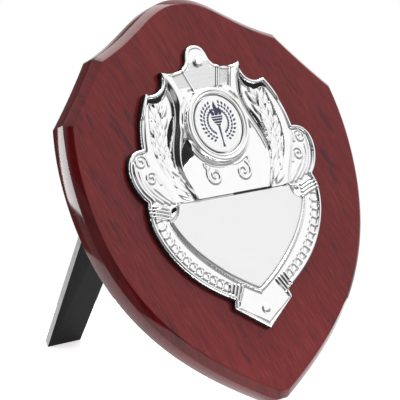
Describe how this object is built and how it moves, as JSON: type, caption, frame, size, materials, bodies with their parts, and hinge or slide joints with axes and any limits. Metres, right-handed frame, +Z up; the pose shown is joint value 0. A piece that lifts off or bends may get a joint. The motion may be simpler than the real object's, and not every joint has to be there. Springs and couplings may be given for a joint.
{
  "type": "award shield",
  "caption": "Free-standing wooden award shield with a pressed metal front, engraving plate and printed centre disc, held up by a hinged folding strut.",
  "frame": {"origin": "on the ground, at the centre of the footprint of the shield with its strut open", "axes": "+Z up, the front of the award faces -Y, the strut opens towards +Y, +X to the right seen from the front"},
  "size_m": [0.155, 0.159, 0.1686],
  "materials": {
    "lacquered_wood": "high gloss rosewood lacquer",
    "chrome_front": "bright pressed and plated sheet",
    "satin_plate": "satin, blank for engraving",
    "printed_disc": "white disc printed with a navy torch and wreath",
    "adhesive_tape": "double-sided foam tape",
    "black_board": "black faced board with a pale grey cut edge",
    "hinge_steel": "nickel-plated steel"
  },
  "bodies": {
    "shield": {"wood_shield": "lacquered_wood", "trophy_front": "chrome_front", "engraving_tape": "adhesive_tape", "engraving_plate": "satin_plate", "centre_disc_tape": "adhesive_tape", "centre_disc": "printed_disc", "top_pin": "chrome_front", "bottom_pin": "chrome_front", "hinge_fixed_leaf": "hinge_steel", "hinge_pin": "hinge_steel", "hinge_screw_left": "hinge_steel", "hinge_screw_centre": "hinge_steel", "hinge_screw_right": "hinge_steel"},
    "strut": {"strut_leg": "black_board", "hinge_moving_leaf": "hinge_steel", "leaf_rivet_left": "hinge_steel", "leaf_rivet_right": "hinge_steel"}
  },
  "joints": [
    {"name": "strut_fold", "type": "hinge", "parent": "shield", "child": "strut", "pos_m": [0, -0.00876, 0.14767], "axis": [1, 0, 0], "range_deg": [-52, 0]}
  ]
}
